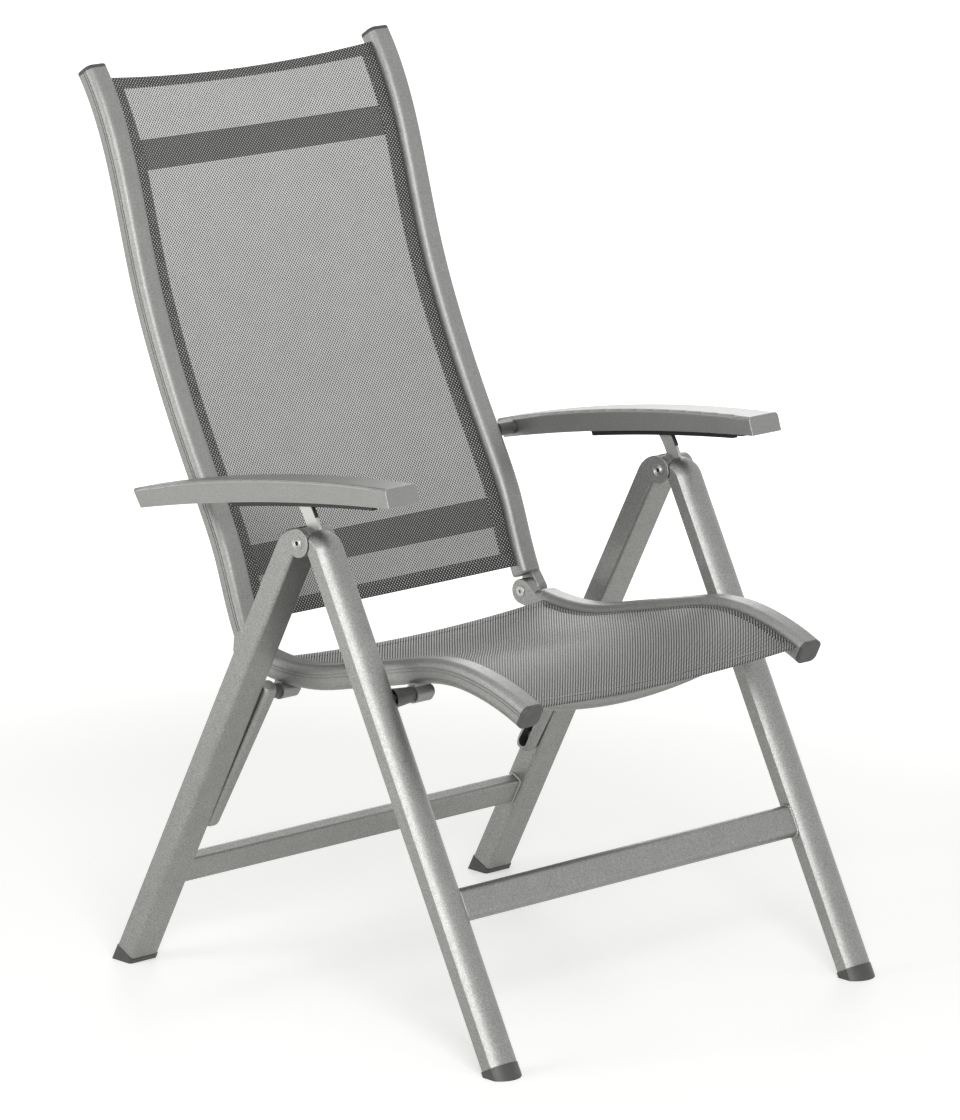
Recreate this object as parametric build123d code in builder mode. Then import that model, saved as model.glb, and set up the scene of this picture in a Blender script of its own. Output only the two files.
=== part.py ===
"""Reclining garden armchair: two hinged pairs of aluminium legs, a folding seat, a high back and slings.

Millimetres, +Z up. The sitter faces -Y, so the sitter's left is +X. Z is 0 on the floor, and the
origin lies midway between the front feet and the top of the back.
"""

import os
from math import asin, atan2, cos, degrees, hypot, radians, sin

from build123d import *

os.makedirs("parts", exist_ok=True)

# Overall size
chair_width = 665.0
chair_depth = 826.0
chair_height = 1066.0

# Legs and their hinge
leg_width = 43.0
front_leg_depth = 25.0
front_leg_side = 16.0
front_leg_set = 9.6
rear_leg_depth = 30.0
rear_leg_set = 16.4
leg_corner = 4.0
leg_wall = 2.0
leg_bend_radius = 5.0
leg_bend_drop = 1.0
hinge_radius = 17.0
hinge_barrel = 28.0
hinge_boss = 1.6
rivet_radius = 5.0
rivet_head_radius = 7.5
rivet_head = 1.4
foot_height = 6.0
foot_over = 0.8

# Seat and back tubes
side_gap = 30.0
rail_width = 33.0
rail_depth = 30.0
back_depth = 27.0
tube_corner = 9.0
tube_wall = 1.8
groove_width = 1.2
groove_depth = 0.8
groove_spacing = 3.6
groove_rise = 3.0
bar_radius = 10.0
bar_drop = 9.95
back_bar_radius = 8.0
bar_wall = 1.6
front_bar_bow = 41.0
rear_bar_bow = 24.0
back_bar_bow = 22.0
cap_length = 5.0
cap_round = 1.8
back_hinge_radius = 15.5
back_rivet_radius = 4.0
back_rivet_head_radius = 7.0

# Pivots, links and spacers
bolt_radius = 4.0
spacer_radius = 8.5
sleeve_radius = 11.0
sleeve_length = 26.0
bolt_cap_radius = 8.0
bolt_cap = 4.0
link_width = 19.0
link_depth = 25.0
link_corner = 7.0
link_wall = 2.0
link_end = 13.0
link_leg_gap = 2.0
bolt_head_radius = 6.0
bolt_head = 4.0
bolt_grip = 3.0
seat_pivot_drop = 27.1
seat_pivot_depth = 10.0
link_slot_up = 20.0
link_slot_down = 4.0
link_slot_width = 12.4
notch_width = 15.0

# Stretchers
front_stretcher_height = 40.0
front_stretcher_depth = 18.0
rear_stretcher_height = 36.0
rear_stretcher_depth = 18.0
stretcher_wall = 1.8

# Armrests, racks and posts
armrest_width = 51.0
armrest_corner = 5.0
armrest_wall = 2.5
arm_overhang = 6.0
rack_width = 24.0
rack_slot = 9.0
rack_drop = 7.0
rack_lift = 15.5
post_width = 19.0
post_thickness = 4.0
post_root = 10.2
post_pin_radius = 3.0
post_pin_length = 7.6

# Slings
sling_thickness = 2.4
seat_sling_lift = 4.0
back_sling_lift = 2.0
seat_sling_sag = 9.0
back_sling_sag = 7.0

# Clearances
running = 0.05
side_clear = 0.3
swing_clear = 1.2
knuckle_clear = 2.4
bolt_head_clear = 1.0
barrel_clear = 2.6
overrun = 5.0

# Side view, as shares of the chair's depth and height: y towards the back, z up
leg_hinge_share = (-0.0291, 0.5385)
front_foot_share = (-0.4212, 0.0)
rear_foot_share = (0.3305, 0.0)
back_hinge_share = (0.1767, 0.3743)
rear_pivot_share = (0.1041, 0.3405)
link_foot_share = (0.2107, 0.1867)
arm_pivot_share = (0.2736, 0.5497)
post_pin_share = (-0.0120, 0.5812)
post_middle_share = (-0.0278, 0.5645)
post_foot_share = (-0.0400, 0.5430)
rail_shares = [
    (-0.3862, 0.3856),
    (-0.3087, 0.4057),
    (-0.2397, 0.4115),
    (-0.1283, 0.3949),
    (-0.0460, 0.3790),
    (0.0278, 0.3659),
    (0.0860, 0.3632),
    (0.1380, 0.3668),
]
back_shares = [
    (0.1860, 0.3955),
    (0.2082, 0.4362),
    (0.2300, 0.4803),
    (0.2615, 0.5272),
    (0.3130, 0.5976),
    (0.3632, 0.6735),
    (0.4098, 0.7587),
    (0.4455, 0.8443),
    (0.4758, 0.9128),
    (0.5309, 0.9925),
]
armrest_top_shares = [(-0.2082, 0.6243), (0.0508, 0.5999), (0.3094, 0.5546)]
armrest_under_shares = [(-0.2174, 0.6036), (0.0363, 0.5765), (0.2915, 0.5347)]
rack_reach_shares = (0.10, 0.66)
front_stretcher_share = 0.1670
rear_stretcher_share = 0.1145
front_bar_share = 0.15
rear_bar_share = 0.88
upper_bar_share = 0.86
lower_bar_share = 0.22
seat_sling_shares = (0.012, 0.985)
back_sling_shares = (0.012, 0.985)

# Steps along the slings' curves, and halvings to find a place on a curve
sling_steps = 8
halvings = 30


def raw_point(share):
    """A side-view point before the chair is centred on its origin."""
    return share[0] * chair_depth, share[1] * chair_height


def leg_angle(foot_share, hinge_offset):
    """Slope in degrees of a leg line that passes the hinge at hinge_offset and meets the foot."""
    hinge, foot = raw_point(leg_hinge_share), raw_point(foot_share)
    run, rise = hinge[0] - foot[0], hinge[1] - foot[1]
    return degrees(atan2(rise, run) + asin(hinge_offset / hypot(rise, run)))


front_angle = leg_angle(front_foot_share, front_leg_set)
rear_angle = leg_angle(rear_foot_share, -rear_leg_set)

# The chair is centred between its front feet and the rearmost point of the back's top caps
top_run, top_rise = (
    raw_point(back_shares[-1])[i] - raw_point(back_shares[-2])[i] for i in range(2)
)
top_slope = atan2(top_rise, top_run)
foot_thickness = front_leg_depth + 2 * foot_over
front_reach = raw_point(front_foot_share)[0] - foot_thickness / sin(radians(front_angle))
rear_reach = (
    raw_point(back_shares[-1])[0] + back_depth / 2 * sin(top_slope) + cap_length * cos(top_slope)
)
centre_shift = -(front_reach + rear_reach) / 2


def side(share):
    """A side-view point (y, z) of the centred chair."""
    y, z = raw_point(share)
    return y + centre_shift, z


def along(point, angle, forward, left=0.0):
    """The point moved forward along an angle in degrees, and out to the left of that direction."""
    c, s = cos(radians(angle)), sin(radians(angle))
    return point[0] + forward * c - left * s, point[1] + forward * s + left * c


# Places across the chair, on the sitter's left
leg_x = chair_width / 2 - arm_overhang - leg_width / 2
leg_inner_x = leg_x - leg_width / 2
leg_outer_x = leg_x + leg_width / 2
rail_outer_x = leg_inner_x - side_gap
rail_x = rail_outer_x - rail_width / 2
rail_inner_x = rail_outer_x - rail_width
armrest_x = chair_width / 2 - armrest_width / 2
armrest_inner_x = armrest_x - armrest_width / 2
sleeve_outer_x = rail_x + sleeve_length / 2
sleeve_inner_x = rail_x - sleeve_length / 2
link_outer_x = leg_inner_x - link_leg_gap
link_inner_x = link_outer_x - link_width
link_x = (link_inner_x + link_outer_x) / 2

# Places in the side view
leg_hinge = side(leg_hinge_share)
back_hinge = side(back_hinge_share)
rear_pivot = side(rear_pivot_share)
link_foot = side(link_foot_share)
arm_pivot = side(arm_pivot_share)
post_pin = side(post_pin_share)
rear_inner_set = rear_leg_set - rear_leg_depth / 2
rail_curve = Spline(*[side(share) for share in rail_shares])
back_curve = Spline(*[side(share) for share in back_shares])


def leg_length(angle, inner_set):
    """Distance from the hinge down a leg to where its metal ends, above the plastic foot."""
    return (leg_hinge[1] + inner_set * abs(cos(radians(angle))) - foot_height) / sin(radians(angle))


front_leg_length = leg_length(front_angle, front_leg_set)
rear_leg_length = leg_length(rear_angle, rear_inner_set)


def share_at(curve, y):
    """Share of a side-view curve at a place along the chair, found by halving."""
    low, high = 0.0, 1.0
    for _ in range(halvings):
        middle = (low + high) / 2
        low, high = (middle, high) if (curve @ middle).X < y else (low, middle)
    return low


def height_at(curve, y):
    """Height of a side-view curve at a place along the chair."""
    return (curve @ share_at(curve, y)).Y


def pivot_under_rail():
    """Where the front legs' line of pivots lies a fixed drop below the rails' middle."""
    low, high = 0.0, front_leg_length
    for _ in range(halvings):
        middle = (low + high) / 2
        y, z = along(leg_hinge, front_angle, -middle, front_leg_set + seat_pivot_depth)
        above = z > height_at(rail_curve, y) - seat_pivot_drop
        low, high = (middle, high) if above else (low, middle)
    return y, z


front_pivot = pivot_under_rail()


def plane_at(x, point=(0.0, 0.0)):
    """A plane facing +X whose local x and y run along the chair's Y and Z."""
    return Plane(origin=(x, point[0], point[1]), x_dir=(0, 1, 0), z_dir=(1, 0, 0))


def square_plane(x, point, angle):
    """A plane square to a side-view direction, with local x along the chair's X."""
    direction = (0, cos(radians(angle)), sin(radians(angle)))
    return Plane(origin=(x, point[0], point[1]), x_dir=(1, 0, 0), z_dir=direction)


def curve_plane(curve, share, x, lift=0.0):
    """A plane square to a side-view curve; local y points to the curve's left, raised by lift."""
    place, tangent = curve @ share, curve % share
    point = (place.X - lift * tangent.Y, place.Y + lift * tangent.X)
    return Plane(
        origin=(x, point[0], point[1]), x_dir=(-1, 0, 0), z_dir=(0, tangent.X, tangent.Y)
    )


def round_bar(x_low, x_high, point, radius, mode=Mode.ADD):
    """A round bar or bore across the chair."""
    with BuildSketch(plane_at(x_low, point)) as profile:
        Circle(radius)
    extrude(profile.sketch, amount=x_high - x_low, mode=mode)


def save(builder, name):
    """Labels a finished piece and writes it."""
    builder.part.label = name
    export_step(builder.part, f"parts/{name}.step")


def save_pair(builder, name):
    """Writes the left piece as built and its mirror image as the right one."""
    save(builder, name + "_left")
    with BuildPart() as mirrored:
        mirror(builder.part, about=Plane.YZ)
    save(mirrored, name + "_right")


def bend_path(angle, inner_set, outward, depth, length):
    """A leg's inner edge from its foot up and round to horizontal, just under the hinge's top."""
    centre_z = leg_hinge[1] + hinge_radius - leg_bend_drop - leg_bend_radius - depth
    lean = cos(radians(angle))
    centre_left = outward * (inner_set - leg_bend_radius)
    centre_y = leg_hinge[0] - (centre_left - (centre_z - leg_hinge[1]) * lean) / sin(radians(angle))
    normal = angle + outward * 90
    foot = along(leg_hinge, angle, -length, outward * inner_set)
    start = along((centre_y, centre_z), normal, leg_bend_radius)
    middle = along((centre_y, centre_z), (normal + 90) / 2, leg_bend_radius)
    end = (centre_y, centre_z + leg_bend_radius)
    with BuildLine(plane_at(leg_x)) as path:
        Line(foot, start)
        ThreePointArc(start, middle, end)
        if outward < 0:
            Line(end, (leg_hinge[0], end[1]))
    return path


def crowned_section(inset=0.0, over=0.0):
    """The front leg's section: flat rear at y = 0, flat sides and a crowned front at minus y."""
    half = leg_width / 2 - inset + over
    rear, shoulder, crown = over - inset, inset / 2 - front_leg_side, inset - over - front_leg_depth
    with BuildLine() as outline:
        Polyline((half, shoulder), (half, rear), (-half, rear), (-half, shoulder))
        ThreePointArc((-half, shoulder), (0, crown), (half, shoulder))
    make_face(outline.edges())


def box_section(width, depth, corner, inset=0.0, over=0.0):
    """A rounded rectangular section whose inner side lies at y = 0 and outer side at y = depth."""
    with Locations((0, depth / 2)):
        RectangleRounded(
            width - 2 * inset + 2 * over, depth - 2 * inset + 2 * over, corner - inset
        )


def post_shape(x_low, x_high, mode=Mode.ADD):
    """The curved strip that rises from the hinge barrel into the armrest's rack."""
    with BuildSketch(plane_at(x_low)) as profile:
        with BuildLine():
            ThreePointArc(side(post_foot_share), side(post_middle_share), post_pin)
        trace(line_width=post_width)
        with Locations(leg_hinge):
            Circle(post_root, mode=Mode.SUBTRACT)
    extrude(profile.sketch, amount=x_high - x_low, mode=mode)


# Posts: a flat curved strip with a cross pin that lifts and locks the armrest
with BuildPart() as post:
    post_shape(leg_x - post_thickness / 2, leg_x + post_thickness / 2)
    round_bar(leg_x - post_pin_length / 2, leg_x + post_pin_length / 2, post_pin, post_pin_radius)
    with BuildSketch(plane_at(leg_x - post_thickness / 2)):
        with Locations(post_pin):
            Rectangle(2 * post_width, 2 * post_width)
        with Locations((post_pin[0], post_pin[1] - post_width)):
            Rectangle(2 * post_width, 2 * post_width, mode=Mode.SUBTRACT)
        with Locations(post_pin):
            Circle(post_pin_radius, mode=Mode.SUBTRACT)
    extrude(amount=post_thickness, mode=Mode.SUBTRACT)
save_pair(post, "post")


# Front legs: crowned tube, bent over at the top to the hinge barrel
with BuildPart() as front_leg:
    front_foot_point = along(leg_hinge, front_angle, -front_leg_length, front_leg_set)
    front_path = bend_path(front_angle, front_leg_set, 1, front_leg_depth, front_leg_length)
    with BuildSketch(square_plane(leg_x, front_foot_point, front_angle)):
        crowned_section()
    sweep(path=front_path.wire())
    for ear_x in (leg_x - leg_width / 2 - overrun, leg_x + hinge_barrel / 2):
        ear_width = (leg_width - hinge_barrel) / 2 + overrun
        round_bar(ear_x, ear_x + ear_width, leg_hinge, hinge_radius + swing_clear, Mode.SUBTRACT)
    round_bar(leg_x - hinge_barrel / 2, leg_x + hinge_barrel / 2, leg_hinge, hinge_radius)
    with BuildSketch(square_plane(leg_x, front_foot_point, front_angle)):
        crowned_section(leg_wall)
    extrude(amount=front_leg_length - 2 * hinge_radius, mode=Mode.SUBTRACT)
    round_bar(
        leg_x - hinge_barrel, leg_x + hinge_barrel, leg_hinge, rivet_radius + running, Mode.SUBTRACT
    )
    round_bar(
        leg_inner_x - overrun, leg_inner_x + leg_wall + overrun, front_pivot, bolt_radius, Mode.SUBTRACT
    )
    post_shape(leg_x - post_thickness / 2, leg_x + post_thickness / 2, Mode.SUBTRACT)
save_pair(front_leg, "front_leg")

# Front feet: plastic caps cut level with the floor
with BuildPart() as front_foot:
    with BuildSketch(square_plane(leg_x, front_foot_point, front_angle)):
        crowned_section(over=foot_over)
    extrude(amount=-2 * front_leg_depth)
    split(bisect_by=Plane.XY, keep=Keep.TOP)
save_pair(front_foot, "front_foot")


# Rear legs: rectangular tube, bent over at the top into two ears that hold the barrel
with BuildPart() as rear_leg:
    rear_foot_point = along(leg_hinge, rear_angle, -rear_leg_length, -rear_inner_set)
    rear_path = bend_path(rear_angle, rear_inner_set, -1, rear_leg_depth, rear_leg_length)
    with BuildSketch(square_plane(leg_x, rear_foot_point, rear_angle)):
        box_section(leg_width, rear_leg_depth, leg_corner)
    sweep(path=rear_path.wire())
    round_bar(leg_inner_x - hinge_boss, leg_outer_x + hinge_boss, leg_hinge, hinge_radius)
    round_bar(
        leg_x - hinge_barrel / 2 - side_clear,
        leg_x + hinge_barrel / 2 + side_clear,
        leg_hinge,
        hinge_radius + barrel_clear,
        Mode.SUBTRACT,
    )
    with BuildSketch(square_plane(leg_x, rear_foot_point, rear_angle)):
        box_section(leg_width, rear_leg_depth, leg_corner, leg_wall)
    extrude(amount=rear_leg_length - 2 * hinge_radius, mode=Mode.SUBTRACT)
    round_bar(leg_x - leg_width, leg_x + leg_width, leg_hinge, rivet_radius, Mode.SUBTRACT)
    round_bar(
        leg_inner_x - overrun, leg_inner_x + leg_wall + overrun, link_foot, bolt_radius, Mode.SUBTRACT
    )
save_pair(rear_leg, "rear_leg")

# Rear feet
with BuildPart() as rear_foot:
    with BuildSketch(square_plane(leg_x, rear_foot_point, rear_angle)):
        box_section(leg_width, rear_leg_depth, leg_corner, over=foot_over)
    extrude(amount=-2 * rear_leg_depth)
    split(bisect_by=Plane.XY, keep=Keep.TOP)
save_pair(rear_foot, "rear_foot")

# Leg hinge rivets, seated in the rear legs' ears
with BuildPart() as leg_rivet:
    rivet_reach = leg_width / 2 + hinge_boss
    round_bar(leg_x - rivet_reach, leg_x + rivet_reach, leg_hinge, rivet_radius)
    round_bar(leg_x + rivet_reach, leg_x + rivet_reach + rivet_head, leg_hinge, rivet_head_radius)
    round_bar(leg_x - rivet_reach - rivet_head, leg_x - rivet_reach, leg_hinge, rivet_head_radius)
save_pair(leg_rivet, "leg_rivet")


def stretcher_place(angle, height_share, left):
    """Side-view point at a height on a leg, set off to the left of its line through the hinge."""
    drop = (leg_hinge[1] + left * cos(radians(angle)) - height_share * chair_height) / sin(
        radians(angle)
    )
    return along(leg_hinge, angle, -drop, left)


# Front stretcher: flat oval tube between the front legs
with BuildPart() as front_stretcher:
    front_left = front_leg_set + front_leg_depth / 4
    front_centre = stretcher_place(front_angle, front_stretcher_share, front_left)
    with BuildSketch(plane_at(-leg_inner_x, front_centre)):
        SlotOverall(front_stretcher_height, front_stretcher_depth, rotation=front_angle)
        SlotOverall(
            front_stretcher_height - 2 * stretcher_wall,
            front_stretcher_depth - 2 * stretcher_wall,
            rotation=front_angle,
            mode=Mode.SUBTRACT,
        )
    extrude(amount=2 * leg_inner_x)
save(front_stretcher, "front_stretcher")

# Rear stretcher: rectangular tube between the rear legs
with BuildPart() as rear_stretcher:
    rear_centre = stretcher_place(rear_angle, rear_stretcher_share, -rear_leg_set)
    with BuildSketch(plane_at(-leg_inner_x, rear_centre)):
        RectangleRounded(rear_stretcher_height, rear_stretcher_depth, leg_corner, rotation=rear_angle)
        RectangleRounded(
            rear_stretcher_height - 2 * stretcher_wall,
            rear_stretcher_depth - 2 * stretcher_wall,
            leg_corner - stretcher_wall,
            rotation=rear_angle,
            mode=Mode.SUBTRACT,
        )
    extrude(amount=2 * leg_inner_x)
save(rear_stretcher, "rear_stretcher")


def tube_section(depth, inset=0.0):
    """The rounded section of the seat and back tubes."""
    RectangleRounded(rail_width - 2 * inset, depth - 2 * inset, tube_corner - inset)


def side_path(curve):
    """The same side-view curve as a path at the tubes' middle."""
    return Wire([plane_at(rail_x).from_local_coords(curve)])


def bent_tube(curve, depth):
    """A hollow tube along a side-view curve, with two fine grooves down its outer side."""
    with BuildSketch(curve_plane(curve, 0, rail_x)) as profile:
        tube_section(depth)
        for rise in (groove_rise - groove_spacing / 2, groove_rise + groove_spacing / 2):
            with Locations((-rail_width / 2, rise)):
                Rectangle(2 * groove_depth, groove_width, mode=Mode.SUBTRACT)
        tube_section_hollow(depth)
    sweep(profile.sketch, path=side_path(curve))


def tube_section_hollow(depth):
    """The tube's bore, clear of the grooves."""
    RectangleRounded(
        rail_width - 4 * tube_wall, depth - 4 * tube_wall, tube_corner / 2, mode=Mode.SUBTRACT
    )


def sleeve(point):
    """A pivot sleeve under the rail with its weld saddle."""
    saddle_height = height_at(rail_curve, point[0]) - rail_depth / 2 + 2 * tube_wall - point[1]
    with BuildSketch(plane_at(sleeve_inner_x, point)) as profile:
        Circle(sleeve_radius)
        with Locations((0, saddle_height / 2)):
            Rectangle(sleeve_radius, saddle_height)
    extrude(profile.sketch, amount=sleeve_length)
    round_bar(sleeve_inner_x, sleeve_outer_x, point, bolt_radius + running, Mode.SUBTRACT)


# Seat rails with the sleeves that turn on the pivots
with BuildPart() as seat_rail:
    bent_tube(rail_curve, rail_depth)
    sleeve(front_pivot)
    sleeve(rear_pivot)
save_pair(seat_rail, "seat_rail")

# Back tubes
with BuildPart() as back_tube:
    bent_tube(back_curve, back_depth)
    bolt_hole = (arm_pivot, bolt_radius + running, Mode.SUBTRACT)
    round_bar(rail_outer_x - 3 * tube_wall, rail_outer_x + overrun, *bolt_hole)
save_pair(back_tube, "back_tube")


def knuckle(curve, share, depth, x_cut_low, x_cut_high):
    """A hinge casting from a tube's end to a disc about the back hinge, halved beside its mate."""
    end, tangent = curve @ share, curve % share
    angle = degrees(atan2(tangent.Y, tangent.X))
    toward = 1 if share else -1
    with BuildSketch(plane_at(rail_inner_x)) as profile:
        with Locations(back_hinge):
            Circle(back_hinge_radius)
        with Locations(Location((end.X, end.Y, 0), (0, 0, angle))):
            with Locations((toward * cap_length / 4, 0)):
                Rectangle(cap_length / 2, depth)
        make_hull()
    extrude(profile.sketch, amount=rail_width)
    round_bar(x_cut_low, x_cut_high, back_hinge, back_hinge_radius + knuckle_clear, Mode.SUBTRACT)


# Seat half of the back hinge, on the inner side
with BuildPart() as seat_knuckle:
    knuckle(rail_curve, 1, rail_depth, rail_x - side_clear / 2, rail_outer_x)
    round_bar(rail_inner_x, rail_outer_x, back_hinge, back_rivet_radius, Mode.SUBTRACT)
save_pair(seat_knuckle, "seat_knuckle")

# Back half of the hinge, on the outer side
with BuildPart() as back_knuckle:
    knuckle(back_curve, 0, back_depth, rail_inner_x, rail_x + side_clear / 2)
    round_bar(rail_inner_x, rail_outer_x, back_hinge, back_rivet_radius + running, Mode.SUBTRACT)
save_pair(back_knuckle, "back_knuckle")

# Back hinge rivets, fast in the seat's half
with BuildPart() as back_rivet:
    round_bar(rail_inner_x, rail_outer_x + side_clear, back_hinge, back_rivet_radius)
    round_bar(rail_inner_x - rivet_head, rail_inner_x, back_hinge, back_rivet_head_radius)
    round_bar(
        rail_outer_x + side_clear,
        rail_outer_x + side_clear + rivet_head,
        back_hinge,
        back_rivet_head_radius,
    )
save_pair(back_rivet, "back_rivet")


def end_cap(curve, share, depth):
    """A plastic plug's head on a tube's open end."""
    direction = 1 if share else -1
    with BuildSketch(curve_plane(curve, share, rail_x)) as profile:
        tube_section(depth)
    extrude(profile.sketch, amount=direction * cap_length)
    normal = curve % share
    outer = faces().sort_by(Axis((0, 0, 0), (0, direction * normal.X, direction * normal.Y)))[-1]
    fillet(outer.edges(), cap_round)


# Caps on the front ends of the rails and on the tops of the back tubes
with BuildPart() as rail_cap:
    end_cap(rail_curve, 0, rail_depth)
save_pair(rail_cap, "rail_cap")

with BuildPart() as back_cap:
    end_cap(back_curve, 1, back_depth)
save_pair(back_cap, "back_cap")


def cross_bar(curve, share, radius, bow, drop):
    """A bowed round tube between two side tubes, dropped and bowed to the curve's right."""
    frame = curve_plane(curve, share, 0, -drop)
    across = Plane(origin=frame.origin, x_dir=(1, 0, 0), z_dir=frame.z_dir)
    outward = 1 if across.y_dir.dot(frame.y_dir) < 0 else -1
    reach = rail_inner_x + radius
    with BuildLine(across) as path:
        ThreePointArc((-reach, 0), (0, outward * bow), (reach, 0))
    with BuildSketch(Plane(origin=path.wire() @ 0, z_dir=path.wire() % 0)) as profile:
        Circle(radius)
        Circle(radius - bar_wall, mode=Mode.SUBTRACT)
    sweep(profile.sketch, path=path.wire())
    split(bisect_by=Plane.YZ.offset(rail_inner_x), keep=Keep.BOTTOM)
    split(bisect_by=Plane.YZ.offset(-rail_inner_x), keep=Keep.TOP)


# Bowed crossbars that keep the rails and the back tubes apart
with BuildPart() as seat_front_bar:
    cross_bar(rail_curve, front_bar_share, bar_radius, front_bar_bow, bar_drop)
save(seat_front_bar, "seat_front_bar")

with BuildPart() as seat_rear_bar:
    cross_bar(rail_curve, rear_bar_share, bar_radius, rear_bar_bow, bar_drop)
save(seat_rear_bar, "seat_rear_bar")

with BuildPart() as back_upper_bar:
    cross_bar(back_curve, upper_bar_share, back_bar_radius, back_bar_bow, back_bar_radius)
save(back_upper_bar, "back_upper_bar")

with BuildPart() as back_lower_bar:
    cross_bar(back_curve, lower_bar_share, back_bar_radius, back_bar_bow, back_bar_radius)
save(back_lower_bar, "back_lower_bar")


def sling(curve, shares, lift, sag):
    """A stretched sheet between two side tubes that dips a little at its middle."""
    start, end = shares
    half = rail_inner_x - side_clear
    with BuildLine(plane_at(0)) as path:
        piece = Spline(
            *[
                ((curve @ t).X, (curve @ t).Y)
                for t in (
                    start + (end - start) * step / sling_steps for step in range(sling_steps + 1)
                )
            ]
        )
    plane = curve_plane(curve, start, 0, lift)
    with BuildSketch(plane) as profile:
        with BuildLine():
            Line((-half, sling_thickness / 2), (-half, -sling_thickness / 2))
            ThreePointArc(
                (-half, -sling_thickness / 2), (0, -sling_thickness / 2 - sag), (half, -sling_thickness / 2)
            )
            Line((half, -sling_thickness / 2), (half, sling_thickness / 2))
            ThreePointArc(
                (half, sling_thickness / 2), (0, sling_thickness / 2 - sag), (-half, sling_thickness / 2)
            )
        make_face()
    sweep(profile.sketch, path=path.wire())


# Slings
with BuildPart() as seat_sling:
    sling(rail_curve, seat_sling_shares, seat_sling_lift, seat_sling_sag)
save(seat_sling, "seat_sling")

with BuildPart() as back_sling:
    sling(back_curve, back_sling_shares, back_sling_lift, back_sling_sag)
save(back_sling, "back_sling")


# Front seat pivots: a bolt from the leg through spacer and sleeve, with a capped end
with BuildPart() as front_pivot_bolt:
    round_bar(
        sleeve_inner_x - side_clear, leg_inner_x + leg_wall + bolt_grip, front_pivot, bolt_radius
    )
    round_bar(
        sleeve_inner_x - side_clear - bolt_cap, sleeve_inner_x - side_clear, front_pivot, bolt_cap_radius
    )
save_pair(front_pivot_bolt, "front_pivot_bolt")

with BuildPart() as front_spacer:
    round_bar(sleeve_outer_x + side_clear, leg_inner_x, front_pivot, spacer_radius)
    round_bar(sleeve_outer_x, leg_inner_x, front_pivot, bolt_radius, Mode.SUBTRACT)
save_pair(front_spacer, "front_spacer")

link_rise = (rear_pivot[0] - link_foot[0], rear_pivot[1] - link_foot[1])
link_angle = degrees(atan2(link_rise[1], link_rise[0]))
link_span = hypot(link_rise[0], link_rise[1])


def link_section(inset=0.0):
    """The link's oval section."""
    RectangleRounded(link_width - 2 * inset, link_depth - 2 * inset, link_corner - inset)


def link_cut(x_low, x_high, low, high, width):
    """A slot through one wall of the link, from low to high above its lower pivot."""
    with BuildSketch(plane_at(x_low, along(link_foot, link_angle, (low + high) / 2))) as profile:
        Rectangle(high - low, width, rotation=link_angle)
    extrude(profile.sketch, amount=x_high - x_low, mode=Mode.SUBTRACT)


# Links: oval struts that hold the rear legs to the seat
with BuildPart() as link:
    with BuildSketch(square_plane(link_x, along(link_foot, link_angle, -link_end), link_angle)):
        link_section()
    extrude(amount=link_span + 2 * link_end)
    with BuildSketch(square_plane(link_x, along(link_foot, link_angle, -link_end), link_angle)):
        link_section(link_wall)
    extrude(amount=link_span + 2 * link_end, mode=Mode.SUBTRACT)
    link_cut(
        link_x, link_outer_x + overrun, -link_slot_down - bolt_radius, link_slot_up, link_slot_width
    )
    link_cut(link_inner_x - overrun, link_x, -link_end - overrun, bolt_radius, notch_width)
    link_cut(
        link_x,
        link_outer_x + overrun,
        link_span - bolt_radius,
        link_span + link_end + overrun,
        notch_width,
    )
    round_bar(link_inner_x - overrun, link_x, rear_pivot, bolt_radius, Mode.SUBTRACT)
save_pair(link, "link")

# Rear pivot bolts, headed inside the link
with BuildPart() as rear_pivot_bolt:
    head_x = link_inner_x + link_wall
    round_bar(head_x, head_x + bolt_head, rear_pivot, bolt_head_radius)
    round_bar(sleeve_inner_x - side_clear, head_x, rear_pivot, bolt_radius)
    round_bar(
        sleeve_inner_x - side_clear - bolt_cap, sleeve_inner_x - side_clear, rear_pivot, bolt_cap_radius
    )
save_pair(rear_pivot_bolt, "rear_pivot_bolt")

with BuildPart() as rear_spacer:
    round_bar(sleeve_outer_x + side_clear, link_inner_x, rear_pivot, spacer_radius)
    round_bar(sleeve_outer_x, link_inner_x, rear_pivot, bolt_radius, Mode.SUBTRACT)
save_pair(rear_spacer, "rear_spacer")

# Lower link bolts, fast in the rear legs
with BuildPart() as link_bolt:
    foot_head_x = link_outer_x - link_wall - bolt_head_clear
    round_bar(foot_head_x, leg_inner_x + leg_wall + bolt_grip, link_foot, bolt_radius)
    round_bar(foot_head_x - bolt_head, foot_head_x, link_foot, bolt_head_radius)
save_pair(link_bolt, "link_bolt")

# Armrest pivots: spacer, shank and a head inside the armrest
with BuildPart() as arm_pivot_bolt:
    spacer_low, spacer_high = rail_outer_x + side_clear, armrest_inner_x - side_clear
    arm_head_x = armrest_inner_x + armrest_wall + side_clear
    round_bar(spacer_low, spacer_high, arm_pivot, spacer_radius)
    round_bar(rail_outer_x - 2 * tube_wall - bolt_grip / 2, arm_head_x, arm_pivot, bolt_radius)
    round_bar(arm_head_x, arm_head_x + bolt_head, arm_pivot, bolt_head_radius)
save_pair(arm_pivot_bolt, "arm_pivot_bolt")

top_arc = ThreePointArc(*[side(share) for share in armrest_top_shares])
under_arc = ThreePointArc(*[side(share) for share in armrest_under_shares])


def shifted(arc, inset, rise):
    """Three points of an arc, its ends drawn in by inset along it and all raised by rise."""
    places = [arc @ (inset / arc.length), arc @ 0.5, arc @ (1 - inset / arc.length)]
    return [(place.X, place.Y + rise) for place in places]


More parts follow.
